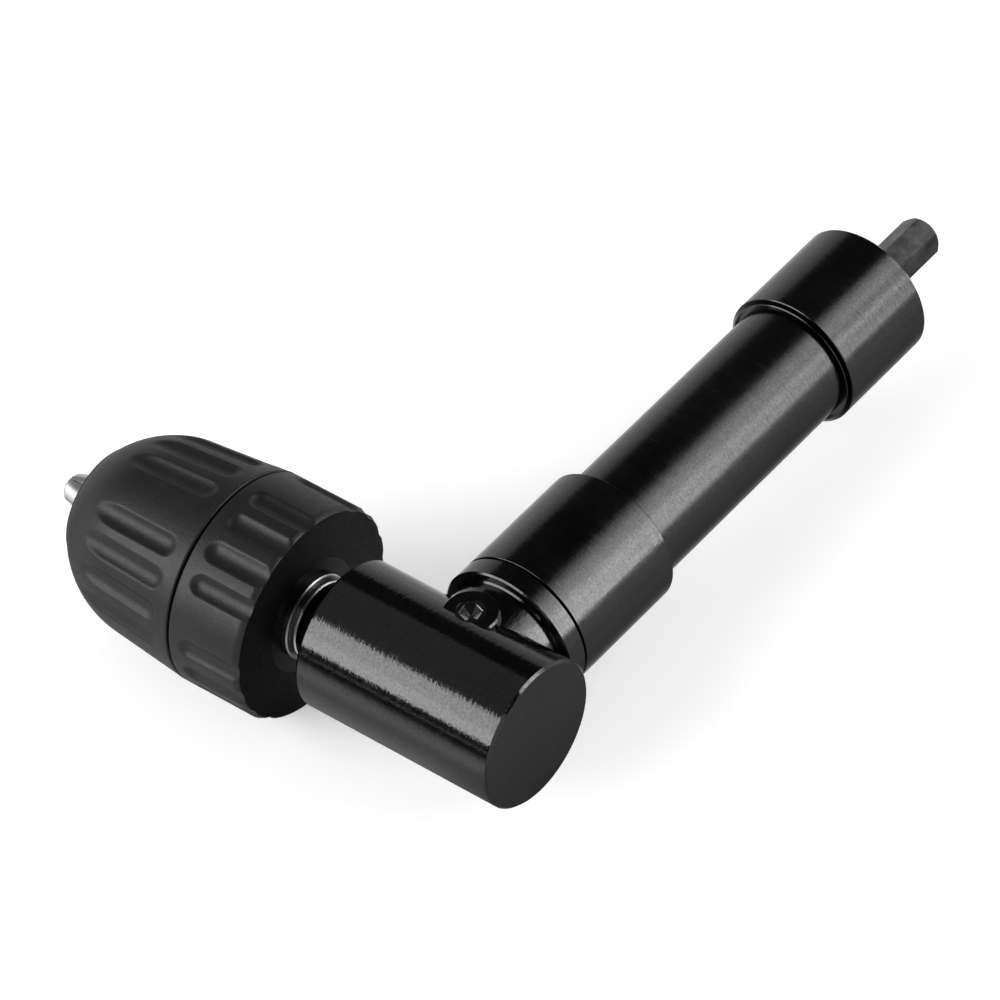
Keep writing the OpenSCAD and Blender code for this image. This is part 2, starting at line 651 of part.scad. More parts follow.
// Jaw's full rod, its tip at the closed position
module jaw_rod(r, before, after) translate([0, 0, jaw_tip]) rotate([0, 180 - jaw_lean, 0])
    translate([0, 0, -before]) cylinder(r = r, h = before + after);

// Chuck body: steel core with the three leaning jaw bores
module chuck_body() color("#4a4b4d") along_output() difference() {
    turned([
        [0, chuck_back], [hub_r, chuck_back], [hub_r, chuck_back + rear_wall_t + seat_gap],
        [flange_r, chuck_back + rear_wall_t + seat_gap], [flange_r, flange_end], [shoulder_r, flange_end],
        [shoulder_r, shoulder_end], [core_r, shoulder_end], [core_r, front_land_y],
        [front_land_r, front_land_y], [front_land_r, front_land_end], [body_nose_r, nose_y],
        [body_nose_r, body_nose_y], [0, body_nose_y]
    ]);
    translate([0, 0, chuck_back - cut])
        cylinder(r = nose_thread_r, h = nose_thread_len + thread_end_gap + cut);
    translate([0, 0, chuck_back]) cylinder(r = screw_d / 2 + screw_clear, h = bit_bore_floor);
    translate([0, 0, bit_bore_floor]) cylinder(r = bit_bore_r, h = body_nose_y);
    for (i = [0 : 2])
        jaw_place(i) jaw_rod(jaw_r + jaw_room, cut, jaw_len + jaw_travel + jaw_tail_room);
}

// One jaw: a leaning rod trimmed to its third of the closed grip
module jaw(i) color("#c2c4c7") along_output() jaw_place(i) intersection() {
    jaw_rod(jaw_r, 2 * jaw_r, jaw_len);
    translate([2 * jaw_split, 0, 0]) linear_extrude(jaw_tip)
        polygon([[0, 0], [chuck_r, -chuck_r * tan(60)], [chuck_r, chuck_r * tan(60)]]);
    turned([
        [0, 0], [chuck_r, 0], [chuck_r, jaw_tip - chuck_r + jaw_spread - jaw_bevel],
        [jaw_spread - jaw_bevel, jaw_tip], [0, jaw_tip]
    ]);
}

// Grooves round a sleeve: groups with one groove left out between them
module grooves(turn) for (g = [0 : groove_groups - 1], k = [1 : grooves_in_group])
    rotate(-turn - g * 360 / groove_groups - k * groove_pitch) children();

// Rear sleeve, pressed on the chuck body
module rear_sleeve() color("#202122") along_output() difference() {
    turned([
        [hub_r + seat_gap, chuck_back], [chuck_r - sleeve_rim_bevel, chuck_back],
        [chuck_r, chuck_back + sleeve_rim_len], [chuck_r, seam - seam_bevel],
        [chuck_r - seam_bevel, seam], [flange_r + seat_gap, seam],
        [flange_r + seat_gap, chuck_back + rear_wall_t],
        [hub_r + seat_gap, chuck_back + rear_wall_t]
    ]);
    grooves(rear_turn) translate([chuck_r - groove_depth + cutter_r, 0, 0]) {
        translate([0, 0, chuck_back - cut]) cylinder(r = cutter_r, h = rear_cutter_y - chuck_back + cut);
        translate([0, 0, rear_cutter_y]) sphere(cutter_r);
    }
}

// Front sleeve, which turns the nut
taper = atan2(chuck_r - dome_r, taper_len);
dome_chord = atan2(dome_r - nose_r, dome_len - nose_bevel);
dome_end_turn = 2 * dome_chord - taper;
dome_arc_r = norm([dome_r - nose_r, dome_len - nose_bevel]) / 2 / sin(dome_chord - taper);

// The dome's outline is an arc that leaves the taper smoothly and ends at the nose
dome_outline = [
    for (i = [1 : dome_steps])
        let (a = taper + (dome_end_turn - taper) * i / dome_steps)
        [dome_r - dome_arc_r * (cos(taper) - cos(a)), dome_start + dome_arc_r * (sin(a) - sin(taper))]
];
module front_sleeve() color("#202122") along_output() difference() {
    turned(concat(
        [[nut_collar_r + seat_gap, front_start], [chuck_r - seam_bevel, front_start],
            [chuck_r, front_start + seam_bevel], [dome_r, dome_start]],
        dome_outline,
        [[nose_r - nose_bevel, nose_y], [mouth_r, nose_y], [front_land_r + sleeve_clear, front_land_end],
            [front_land_r + sleeve_clear, front_land_y], [nut_collar_r + seat_gap, front_land_y]]
    ));
    grooves(front_turn) translate([chuck_r, 0, front_start]) rotate([0, -taper, 0])
        translate([cutter_r - groove_depth, 0, front_band + groove_w / 2]) {
            cylinder(r = cutter_r, h = taper_len + dome_len);
            sphere(cutter_r);
        }
}

// Ring nut in two halves, its cone close round the jaws
module nut_halves() color("#8a8274") along_output() difference() {
    turned([
        [jaw_reach(nut_start) + nut_gap, nut_start], [race_r, nut_start], [race_r, nut_end],
        [jaw_reach(nut_end) + nut_gap, nut_end]
    ]);
    translate([-chuck_r, -nut_split, nut_start - cut]) cube([chuck_d, 2 * nut_split, nut_len + 2 * cut]);
}

// Steel band pressed round the nut halves
module nut_collar() color("#55575a") along_output(race_front_y)
    ring(nut_collar_r, race_r + seat_gap, nut_end - race_front_y);

module thrust_race_rear() color("#a9acb0") along_output(shoulder_end) ring(race_r, race_in_r, race_t);
module thrust_race_front() color("#a9acb0") along_output(race_front_y) ring(race_r, race_in_r, race_t);
module thrust_balls() color("#c9ccd0") along_output(shoulder_end + race_t + race_gap + thrust_ball_d / 2)
    for (i = [0 : thrust_ball_count - 1])
        rotate(i * 360 / thrust_ball_count) translate([thrust_r, 0, 0]) sphere(d = thrust_ball_d);

// Left-hand screw that locks the chuck on the spindle
module chuck_screw() color("#8f9194") along_output(bit_bore_floor) difference() {
    union() {
        cylinder(d = screw_head_d, h = screw_head_h);
        translate([0, 0, -screw_len]) cylinder(d = screw_d - 2 * seat_gap, h = screw_len + cut);
    }
    translate([-screw_head_d, -screw_slot_w / 2, screw_head_h - screw_slot_depth])
        cube([2 * screw_head_d, screw_slot_w, screw_slot_depth + cut]);
}

gear_head();
end_cap();
grease_plug();
spindle_seal();
lock_ring();
coupling_sleeve();
arm_tube();
rear_collar();
bearing_circlip();
pinion_bearing_outers();
rear_bearing_outer();
spindle_bearing_outer();
tail_bearing_outer();
drive_shaft();
pinion();
pinion_pin();
bearing_spacer();
shaft_circlips();
pinion_bearing_inners();
rear_bearing_inner();
output_spindle();
output_gear();
gear_key();
spindle_bearing_inner();
tail_bearing_inner();
chuck_body();
rear_sleeve();
chuck_screw();
thrust_race_rear();
front_sleeve();
nut_halves();
nut_collar();
thrust_race_front();
jaw(0);  // jaw_1
jaw(1);  // jaw_2
jaw(2);  // jaw_3
pinion_bearing_balls();
rear_bearing_balls();
spindle_bearing_balls();
tail_bearing_balls();
thrust_balls();
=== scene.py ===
"""Looks of the right angle drill attachment: materials, moulded sleeves, studio and camera.

Places are in metres in the row frame. A piece round the output spindle is drawn in millimetres from
the crossing of the two axes: y runs along the spindle towards the chuck's nose, r is the distance
from its axis, and an angle turns from +X towards +Z.
"""

import json
import math

import bpy
import numpy as np
from mathutils import Matrix, Vector


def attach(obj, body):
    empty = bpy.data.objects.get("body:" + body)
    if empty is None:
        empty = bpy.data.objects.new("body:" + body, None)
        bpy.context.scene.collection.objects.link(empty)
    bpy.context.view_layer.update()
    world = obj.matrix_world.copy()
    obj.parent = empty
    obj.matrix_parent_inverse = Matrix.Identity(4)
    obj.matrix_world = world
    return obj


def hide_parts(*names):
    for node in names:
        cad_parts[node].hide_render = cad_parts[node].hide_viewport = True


MM = 0.001
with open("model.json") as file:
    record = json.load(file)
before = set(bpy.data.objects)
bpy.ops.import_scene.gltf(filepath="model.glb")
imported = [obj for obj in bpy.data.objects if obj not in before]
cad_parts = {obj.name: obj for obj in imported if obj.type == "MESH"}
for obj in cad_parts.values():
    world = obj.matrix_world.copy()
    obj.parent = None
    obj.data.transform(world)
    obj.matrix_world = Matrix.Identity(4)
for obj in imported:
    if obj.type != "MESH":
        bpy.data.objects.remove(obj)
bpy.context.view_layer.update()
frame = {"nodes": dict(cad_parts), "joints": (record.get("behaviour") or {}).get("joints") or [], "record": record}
nodes = frame["nodes"]
crossing = Vector(next(j["pos_m"] for j in frame["joints"] if j["name"] == "output_spin"))

# Chuck sleeves, in millimetres from the crossing of the axes
CHUCK_R = 22.2
CHUCK_BACK = 34.1
SEAM = 50.95
FRONT_START = 51.45
TAPER_LEN = 17.9
TAPER_DROP = 1.65
DOME_LEN = 15.8
NOSE_R = 12.5
NOSE_ROUND = 0.4
MOUTH_R = 9.1
NOSE_EDGE = 0.12
NOSE_EDGE_LEN = 0.1
RIM_BEVEL = 0.7
RIM_BEVEL_LEN = 1.1
RIM_EDGE = 0.2
RIM_EDGE_LEN = 0.15
SEAM_ROUND = 0.4
# Width of a ring of faces next to the rim, so that the shading stays flat beside it
FLAT_GUARD = 0.6
REAR_WALL = 2.0
HUB_R = 12.05
REAR_BORE_R = 19.45
FRONT_BORE_R = 18.15
FRONT_LAND_R = 15.45
FRONT_LAND_Y = 67.12
FRONT_LAND_END = 77.15

# Grip grooves
GROUPS = 4
GROOVES_IN_GROUP = 4
GROOVE_PITCH = 18
GROOVE_W = 4.4
GROOVE_DEPTH = 0.95
GROOVE_EDGE = 0.32
REAR_BAND = 2.6
FRONT_BAND = 3.3
REAR_TURN = 66
FRONT_TURN = 20

# Radius given where there is no groove, far outside the sleeve
NO_GROOVE = 10.0 * CHUCK_R

# Mesh of the sleeves
AROUND = 640
STATION_STEP = 0.4
DOME_STEPS = 44
SHARP_ANGLE = 40

# Spindle rings, joint of lock ring and sleeve, and front edge of the collar, in millimetres from the crossing,
# with the widths of their bands of painted highlight and painted shade
KEY_RING_Y = 31.6
OUTER_RING_Y = 33
RING_BEVEL = 0.25
RING_EDGE = 0.02
KEY_RING_PAINTED_HIGHLIGHT = 0.475
SLEEVE_X = 21.3
SEAM_HALF = 0.3
COLLAR_X = 106.3
COLLAR_BEVEL = 0.9
COLLAR_LINE = 0.14

# Roughness: scale of its patches over the colour's, and share of the turning marks where there are any
ROUGH_PATCHES = 7
LINES_SHARE = 0.6


def add_object(name, data):
    piece = bpy.data.objects.new(name, data)
    bpy.context.scene.collection.objects.link(piece)
    return piece


# Node helpers
def new_material(name):
    material = bpy.data.materials.new(name)
    material.use_nodes = True
    shader = material.node_tree.nodes["Principled BSDF"]
    return material, material.node_tree, shader


def coordinates(tree, scale=(1, 1, 1)):
    place = tree.nodes.new("ShaderNodeTexCoord")
    mapping = tree.nodes.new("ShaderNodeMapping")
    mapping.inputs["Scale"].default_value = scale
    tree.links.new(place.outputs["Object"], mapping.inputs["Vector"])
    return mapping.outputs["Vector"]


def noise(tree, vector, scale, detail=3.0, roughness=0.55):
    node = tree.nodes.new("ShaderNodeTexNoise")
    node.inputs["Scale"].default_value = scale
    node.inputs["Detail"].default_value = detail
    node.inputs["Roughness"].default_value = roughness
    tree.links.new(vector, node.inputs["Vector"])
    return node.outputs["Fac"]


def map_range(tree, value, low, high, start=0.3, end=0.7):
    node = tree.nodes.new("ShaderNodeMapRange")
    node.inputs["From Min"].default_value = start
    node.inputs["From Max"].default_value = end
    node.inputs["To Min"].default_value = low
    node.inputs["To Max"].default_value = high
    tree.links.new(value, node.inputs["Value"])
    return node.outputs["Result"]


def mix_colours(tree, share, dark, light):
    """A mix of two colours. The dark one may be the output of a node."""
    node = tree.nodes.new("ShaderNodeMix")
    node.data_type = "RGBA"
    if isinstance(dark, tuple):
        node.inputs["A"].default_value = (*dark, 1)
    else:
        tree.links.new(dark, node.inputs["A"])
    node.inputs["B"].default_value = (*light, 1)
    tree.links.new(share, node.inputs["Factor"])
    return node.outputs["Result"]


def calculate(tree, operation, *values):
    """A Math node. Each value is a number or the output of a node."""
    node = tree.nodes.new("ShaderNodeMath")
    node.operation = operation
    for socket, value in zip(node.inputs, values):
        if isinstance(value, (int, float)):
            socket.default_value = value
        else:
            tree.links.new(value, socket)
    return node.outputs[0]


def band(tree, axis, low, high):
    """1 between two places along x or y, in millimetres from the crossing, and 0 elsewhere."""
    split = tree.nodes.new("ShaderNodeSeparateXYZ")
    tree.links.new(coordinates(tree), split.inputs[0])
    origin = getattr(crossing, axis)
    place = split.outputs[axis.upper()]
    after = calculate(tree, "GREATER_THAN", place, origin + low * MM)
    return calculate(tree, "MULTIPLY", after, calculate(tree, "LESS_THAN", place, origin + high * MM))


def bump(tree, shader, heights):
    """Stacks bumps, each given as (height output, distance in metres)."""
    normal = None
    for height, distance in heights:
        node = tree.nodes.new("ShaderNodeBump")
        node.inputs["Distance"].default_value = distance
        tree.links.new(height, node.inputs["Height"])
        if normal is not None:
            tree.links.new(normal, node.inputs["Normal"])
        normal = node.outputs["Normal"]
    tree.links.new(normal, shader.inputs["Normal"])


# Materials
def finish(name, dark, light, roughness, metallic=0.0, grain=1500, grain_depth=0.00001,
           patch=60, turned=None, turned_scale=2500, turned_depth=0.000004, turned_draw=0.06,
           specular=0.5, shine=(), painted_shade_bands=(), painted=()):
    """A surface with patchy colour and roughness, a fine grain and, where it is machined, turning marks.

    patch, grain and turned_scale are the scales of their noises, and the depths are in metres. turned is
    the axis along which the tool moved, so that the marks run round it, and turned_draw says how drawn
    out they are. shine is the range of the specular level where the grain changes it. gaps lists bands
    painted black that reflect nothing, as painted shade, and painted lists bands of another colour, which
    on the spindle are a lighter band over the rings with painted highlights on their front bevels.
    """
    material, tree, shader = new_material(name)
    plain = coordinates(tree)
    colour = mix_colours(tree, map_range(tree, noise(tree, plain, patch), 0, 1), dark, light)
    # Bands of another colour: on the spindle, a lighter band over the rings and painted highlights on their front
    # bevels
    for place, shade in painted:
        colour = mix_colours(tree, band(tree, *place), colour, shade)
    # Painted shade: these bands are black and reflect nothing
    if painted_shade_bands:
        inside = band(tree, *painted_shade_bands[0])
        for place in painted_shade_bands[1:]:
            inside = calculate(tree, "MAXIMUM", inside, band(tree, *place))
        colour = mix_colours(tree, inside, colour, grey(0))
        tree.links.new(inside, shader.inputs["Metallic"])
    tree.links.new(colour, shader.inputs["Base Color"])
    fine = noise(tree, plain, grain, detail=2.0)
    heights = [(fine, grain_depth)]
    rough = noise(tree, plain, patch * ROUGH_PATCHES)
    if turned:
        marks = [turned_draw] * 3
        marks["xyz".index(turned)] = 1
        lines = noise(tree, coordinates(tree, marks), turned_scale, detail=2.0)
        heights.append((lines, turned_depth))
        rough = calculate(tree, "MULTIPLY", rough, 1 - LINES_SHARE)
        rough = calculate(tree, "MULTIPLY_ADD", lines, LINES_SHARE, rough)
    tree.links.new(map_range(tree, rough, *roughness), shader.inputs["Roughness"])
    bump(tree, shader, heights)
    shader.inputs["Metallic"].default_value = metallic
    shader.inputs["Specular IOR Level"].default_value = specular
    if shine:
        tree.links.new(map_range(tree, fine, *shine), shader.inputs["Specular IOR Level"])
    return material


def grey(value):
    return (value, value, value)


def make_materials():
    steel = dict(metallic=1.0, grain=2500, grain_depth=0.000003)
    blackest = (grey(0.001), grey(0.003))
    black = dict(grain=2200, grain_depth=0.000014, shine=(0.4, 0.62))
    arm = dict(turned="x", turned_scale=1800, turned_depth=0.00002, **black)
    # Painted shade: black bands that reflect nothing, in the joint of lock ring and sleeve and across the middle
    # of the collar's front bevel
    painted_shade_bands = (("x", SLEEVE_X - SEAM_HALF, SLEEVE_X + SEAM_HALF),
            ("x", COLLAR_X + COLLAR_LINE, COLLAR_X + COLLAR_BEVEL - COLLAR_LINE))
    mould = dict(grain=2400, grain_depth=0.00005, patch=90)
    # Spindle bands: a lighter band over the rings, and painted highlights on their front bevels, near-white on the
    # key ring and light grey on the outer ring
    painted = [(("y", KEY_RING_Y + RING_EDGE, CHUCK_BACK), grey(0.17)),
               (("y", KEY_RING_Y + RING_EDGE, KEY_RING_Y + KEY_RING_PAINTED_HIGHLIGHT), grey(0.98)),
               (("y", OUTER_RING_Y + RING_EDGE, OUTER_RING_Y + RING_BEVEL), grey(0.42))]
    return {
        "black_metal": finish("black_metal", *blackest, (0.08, 0.24), painted_shade_bands=painted_shade_bands, **arm),
        "black_tube": finish("black_tube", *blackest, (0.14, 0.28), **arm),
        "black_head": finish("black_head", *blackest, (0.05, 0.15), turned="y", turned_scale=1500,
                             turned_depth=0.00004, turned_draw=0.3, **black),
        "cap_metal": finish("cap_metal", grey(0.006), grey(0.009), (0.45, 0.55), grain=2600,
                            grain_depth=0.000012, specular=0.28),
        "black_screw": finish("black_screw", grey(0.24), grey(0.3), (0.08, 0.14), metallic=1.0, grain=2600,
                              grain_depth=0.000004),
        "seal_rubber": finish("seal_rubber", grey(0.012), grey(0.02), (0.6, 0.75)),
        "shank_steel": finish("shank_steel", grey(0.035), grey(0.16), (0.28, 0.46), metallic=1.0, turned="x",
                              patch=260, grain=2000, grain_depth=0.00002),
        "spindle_steel": finish("spindle_steel", grey(0.008), grey(0.012), (0.26, 0.36), turned="y",
                                painted=painted, **steel),
        "bright_steel": finish("bright_steel", grey(0.5), grey(0.62), (0.16, 0.24), turned="y", **steel),
        "jaw_steel": finish("jaw_steel", grey(0.66), grey(0.82), (0.32, 0.42), turned="y", **steel),
        "chuck_steel": finish("chuck_steel", *blackest, (0.25, 0.35), turned="y", specular=0.065),
        "chuck_plastic": finish("chuck_plastic", grey(0.008), grey(0.012), (0.4, 0.48), specular=0.3,
                                **mould),
        # A darker, duller copy of the chuck plastic: painted shade on the chuck's rear face, which the gear head
        # shades
        "chuck_back": finish("chuck_back", *blackest, (0.5, 0.6), specular=0.075, **mould),
        "gear_steel": finish("gear_steel", grey(0.28), grey(0.36), (0.25, 0.35), **steel),
        "bearing_steel": finish("bearing_steel", grey(0.62), grey(0.7), (0.1, 0.18), **steel),
        "spring_steel": finish("spring_steel", grey(0.3), grey(0.38), (0.3, 0.4), **steel),
    }


# Nodes that look different from the rest of their slot
OWN_MATERIALS = {"gear_head": "black_head", "arm_tube": "black_tube", "output_spindle": "spindle_steel"}


def dress_nodes(materials):
    for part in frame["record"]["subparts"]:
        mesh = nodes[part["node"]].data
        mesh.materials.clear()
        mesh.materials.append(materials[OWN_MATERIALS.get(part["node"], part["material_slot"])])


# Moulded sleeves
def soft_min(a, b, width):
    """The lower of two surfaces, with a rounded edge where they meet."""
    share = np.clip(0.5 + 0.5 * (b - a) / width, 0, 1)
    return b + (a - b) * share - width * share * (1 - share)


def groove_floor(y, angles, r, turn, end_y, heading, lean):
    """Distance of the grooves' floor from the axis. A groove starts round at end_y and runs on to heading."""
    cutter_r = (GROOVE_W ** 2 / 4 + GROOVE_DEPTH ** 2) / (2 * GROOVE_DEPTH)
    middle_r = CHUCK_R - GROOVE_DEPTH + cutter_r - abs(y - (SEAM if heading < 0 else FRONT_START)) * lean
    floor = np.full(angles.shape, NO_GROOVE)
    past_end = max(0.0, (end_y - y) * heading)
    for group in range(GROUPS):
        for k in range(1, GROOVES_IN_GROUP + 1):
            centre = turn + group * 360 / GROUPS + k * GROOVE_PITCH
            off = (angles - centre + 180) % 360 - 180
            across = r * np.radians(off)
            room = cutter_r ** 2 - across ** 2 - past_end ** 2
            inside = (room > 0) & (np.abs(off) < GROOVE_PITCH)
            floor[inside] = np.minimum(floor[inside], middle_r - np.sqrt(room[inside]))
    return floor


def arc(centre, radius, start, end, steps=4):
    """Points [y, r] of an arc, its angles in degrees from +y towards +r."""
    turns = [math.radians(start + (end - start) * i / steps) for i in range(steps + 1)]
    return [(centre[0] + radius * math.cos(t), centre[1] + radius * math.sin(t)) for t in turns]


def stations(start, end):
    """Evenly spaced places from start to end."""
    count = max(2, round(abs(end - start) / STATION_STEP))
    return [start + (end - start) * i / count for i in range(count + 1)]


def sleeve(name, outline, grooved, body, replaced, materials, floor, backs=()):
    """A closed solid of revolution whose outside, the stretch of the outline in grooved, carries the grooves.

    floor(y, angles, r) gives the grooves' floor, and replaced is the node whose place the sleeve takes. The
    rows of faces named in backs take the second material.
    """
    angles = np.arange(AROUND) * 360 / AROUND
    cosines, sines = np.cos(np.radians(angles)), np.sin(np.radians(angles))
    points = []
    for i, (y, r) in enumerate(outline):
        rs = np.full(AROUND, float(r))
        if grooved[0] <= i < grooved[1]:
            rs = soft_min(rs, floor(y, angles, r), GROOVE_EDGE)
        points.append(np.stack([rs * cosines, np.full(AROUND, y), rs * sines], axis=1))
    points = np.concatenate(points) * MM + np.array(crossing)
    rows = len(outline)
    faces = []
    for i in range(rows):
        a, b = i * AROUND, (i + 1) % rows * AROUND
        for k in range(AROUND):
            n = (k + 1) % AROUND
            faces.append((a + k, a + n, b + n, b + k))
    mesh = bpy.data.meshes.new(name)
    mesh.from_pydata(points.tolist(), [], faces)
    mesh.validate()
    mesh.shade_smooth()
    mesh.set_sharp_from_angle(angle=math.radians(SHARP_ANGLE))
    for material in materials:
        mesh.materials.append(material)
    for row in backs:
        for face in range(row * AROUND, (row + 1) * AROUND):
            mesh.polygons[face].material_index = 1
    piece = add_object(name, mesh)
    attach(piece, body)
    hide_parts(replaced)


def rear_sleeve(plastic, back):
    rim = CHUCK_BACK + RIM_BEVEL_LEN
    outside = [(CHUCK_BACK, CHUCK_R - RIM_BEVEL), (CHUCK_BACK + RIM_EDGE_LEN, CHUCK_R - RIM_BEVEL + RIM_EDGE)]
    outside += [(y, CHUCK_R) for y in stations(rim, SEAM - SEAM_ROUND)]
    outside += arc((SEAM - SEAM_ROUND, CHUCK_R - SEAM_ROUND), SEAM_ROUND, 90, 0)[1:]
    wall = CHUCK_BACK + REAR_WALL
    inside = [(SEAM, REAR_BORE_R), (wall, REAR_BORE_R), (wall, HUB_R), (CHUCK_BACK, HUB_R),
              (CHUCK_BACK, CHUCK_R - RIM_BEVEL - FLAT_GUARD)]

    def floor(y, angles, r):
        return groove_floor(y, angles, r, REAR_TURN, SEAM - REAR_BAND - GROOVE_W / 2, -1, 0.0)

    # The last two rows of faces, the flat rear face, take the darker copy of the plastic: painted shade
    rows = len(outside) + len(inside)
    sleeve("rear_sleeve_moulded", outside + inside, (0, len(outside)), "output", "rear_sleeve",
           (plastic, back), floor, backs=(rows - 2, rows - 1))


def front_sleeve(plastic):
    lean = TAPER_DROP / TAPER_LEN
    dome_start = FRONT_START + TAPER_LEN
    dome_r = CHUCK_R - TAPER_DROP
    outside = arc((FRONT_START + SEAM_ROUND, CHUCK_R - SEAM_ROUND), SEAM_ROUND, 180, 90)
    outside += [(y, CHUCK_R - (y - FRONT_START) * lean)
                for y in stations(FRONT_START + SEAM_ROUND, dome_start)[1:]]
    start, chord = math.atan(lean), math.atan2(dome_r - NOSE_R, DOME_LEN - NOSE_ROUND)
    end = 2 * chord - start
    radius = math.hypot(dome_r - NOSE_R, DOME_LEN - NOSE_ROUND) / 2 / math.sin(chord - start)
    for i in range(1, DOME_STEPS + 1):
        turn = start + (end - start) * i / DOME_STEPS
        outside.append((dome_start + radius * (math.sin(turn) - math.sin(start)),
                        dome_r - radius * (math.cos(start) - math.cos(turn))))
    nose_y = dome_start + DOME_LEN
    outside += [(nose_y - NOSE_EDGE_LEN, NOSE_R - NOSE_EDGE), (nose_y, NOSE_R - NOSE_ROUND)]
    inside = [(nose_y, NOSE_R - 2 * NOSE_ROUND), (nose_y, MOUTH_R), (FRONT_LAND_END, FRONT_LAND_R),
              (FRONT_LAND_Y, FRONT_LAND_R), (FRONT_LAND_Y, FRONT_BORE_R), (FRONT_START, FRONT_BORE_R)]

    def floor(y, angles, r):
        return groove_floor(y, angles, r, FRONT_TURN, FRONT_START + FRONT_BAND + GROOVE_W / 2, 1, lean)

    sleeve("front_sleeve_moulded", outside + inside, (0, len(outside)), "chuck_sleeve", "front_sleeve",
           (plastic,), floor)


# Studio
LIGHT_DISTANCE = 1.3
# Lamps on the right: azimuth, width, lowest and highest elevation in degrees, how many, and share of the glow
RIGHT_PARTS = ((-65, 19, 1, 33, 4, 1.0), (-53.2, 4.6, 1, 17, 1, 0.62), (-53.2, 4.6, 17, 33, 1, 0.85),
               (-49, 4, 1, 17, 1, 0.35), (-49, 4, 17, 33, 1, 0.85), (-42, 10, 17, 33, 2, 0.42),
               (-46, 38, 33, 55, 5, 1.0))
# Their radiance by elevation
RIGHT_GLOW = ((5, 12, 20, 28, 37, 44, 50, 54), (7.6, 7.3, 6.9, 6.4, 4.6, 3.4, 1.6, 0.5))
# Strength of the background where it isn't seen directly, and of the floor's own light where it is
WORLD_LIGHT = 0.3
FLOOR_LIFT = 0.4
DARK_GREY = 0.02
CEILING_R = 2.2
CEILING_START = 25
HORIZON_R = 1.25
FAR_R = 1.28
FLOOR_SIZE = 8.0
FLOOR_GREY = 0.86
FLOOR_CARD_REACH = 0.7
FLOOR_CARD_HEIGHT = 0.0001
# Painted radiance of the floor, as reflections see it, by the distance in metres from the two axes: low near the
# axes as a painted shadow, and high on the left as a painted pool of light
CAMERA_SIDE = ((0.008, 0.012, 0.0154, 0.022, 0.037, 0.1), (0.04, 0.09, 0.13, 0.18, 0.4, 0.8))
LEFT_SIDE = ((0.008, 0.012, 0.018, 0.026, 0.037, 0.055, 0.09, 0.115, 0.18),
             (0.15, 0.33, 0.5, 0.62, 0.65, 1.25, 1.1, 0.45, 0.03))
FAR_SIDE = ((0.03, 0.065), (1.0, 0.66))
# Strips in metres along x and y in which one side passes over into the next
LEFT_TO_FAR = (-0.01, 0.01)
CAMERA_TO_FAR = (-0.02, 0.01)
# Radiance of the background behind the object, by elevation
FAR_SKY = ((-2, 10, 21, 26), (0.72, 0.66, 0.5, 0.35))


def direction(azimuth, elevation):
    a, e = math.radians(azimuth), math.radians(elevation)
    return Vector((math.cos(e) * math.cos(a), math.cos(e) * math.sin(a), math.sin(e)))


def softbox(name, azimuth, elevation, wide, high, radiance):
    """A soft rectangular lamp aimed at the object. wide and high are the angles that it fills, in degrees."""
    width = 2 * LIGHT_DISTANCE * math.tan(math.radians(wide / 2))
    height = 2 * LIGHT_DISTANCE * math.tan(math.radians(high / 2))
    lamp = bpy.data.lights.new(name, "AREA")
    lamp.shape = "RECTANGLE"
    lamp.size, lamp.size_y = width, height
    lamp.energy = radiance * math.pi * width * height
    light = add_object(name, lamp)
    aim = direction(azimuth, elevation)
    light.location = crossing + aim * LIGHT_DISTANCE
    light.rotation_euler = aim.to_track_quat("Z", "Y").to_euler()


def card(name, points, faces, material):
    """A studio card, dark or glowing, that only reflections see."""
    mesh = bpy.data.meshes.new(name)
    mesh.from_pydata(points, [], faces)
    mesh.materials.append(material)
    piece = add_object(name, mesh)
    piece.visible_camera = False
    piece.visible_diffuse = False
    piece.visible_shadow = False
    piece.visible_transmission = False
    return mesh


def grid_faces(steps):
    return [(a, a + 1, a + steps + 2, a + steps + 1)
            for i in range(steps) for a in range(i * (steps + 1), i * (steps + 1) + steps)]


def sky_patch(name, azimuths, elevations, radius, material=None, glow=None, steps=24):
    """A card that fills a range of azimuths and elevations round the object, dark or glowing."""
    points, radiances = [], []
    for azimuth in np.linspace(*azimuths, steps + 1):
        for elevation in np.linspace(*elevations, steps + 1):
            points.append(crossing + direction(azimuth, elevation) * radius)
            if glow:
                radiances.append(float(np.interp(elevation, *glow)))
    if glow:
        glow_card(name, points, grid_faces(steps), radiances)
    else:
        card(name, points, grid_faces(steps), material)


def glow_card(name, points, faces, radiances):
    """A card with a radiance of its own at each point."""
    material, tree, shader = new_material(name)
    glow = tree.nodes.new("ShaderNodeAttribute")
    glow.attribute_name = "glow"
    shader.inputs["Base Color"].default_value = (0, 0, 0, 1)
    shader.inputs["Specular IOR Level"].default_value = 0.0
    shader.inputs["Emission Color"].default_value = (1, 1, 1, 1)
    tree.links.new(glow.outputs["Fac"], shader.inputs["Emission Strength"])
    layer = card(name, points, faces, material).attributes.new("glow", "FLOAT", "POINT")
    layer.data.foreach_set("value", radiances)


def dark_card_material():
    material, _, shader = new_material("studio_card")
    shader.inputs["Base Color"].default_value = (*grey(DARK_GREY), 1)
    shader.inputs["Roughness"].default_value = 1.0
    return material


def seen_directly(tree):
    """1 for what the camera sees, directly, in a reflection or through glass."""
    path = tree.nodes.new("ShaderNodeLightPath")
    glossy = calculate(tree, "MAXIMUM", path.outputs["Is Camera Ray"], path.outputs["Is Glossy Ray"])
    return calculate(tree, "MAXIMUM", glossy, path.outputs["Is Transmission Ray"])


def make_world():
    world = bpy.data.worlds.new("studio")
    bpy.context.scene.world = world
    world.use_nodes = True
    tree = world.node_tree
    background = tree.nodes["Background"]
    background.inputs["Color"].default_value = (1, 1, 1, 1)
    tree.links.new(map_range(tree, seen_directly(tree), WORLD_LIGHT, 1.0, start=0.0, end=1.0),
                   background.inputs["Strength"])


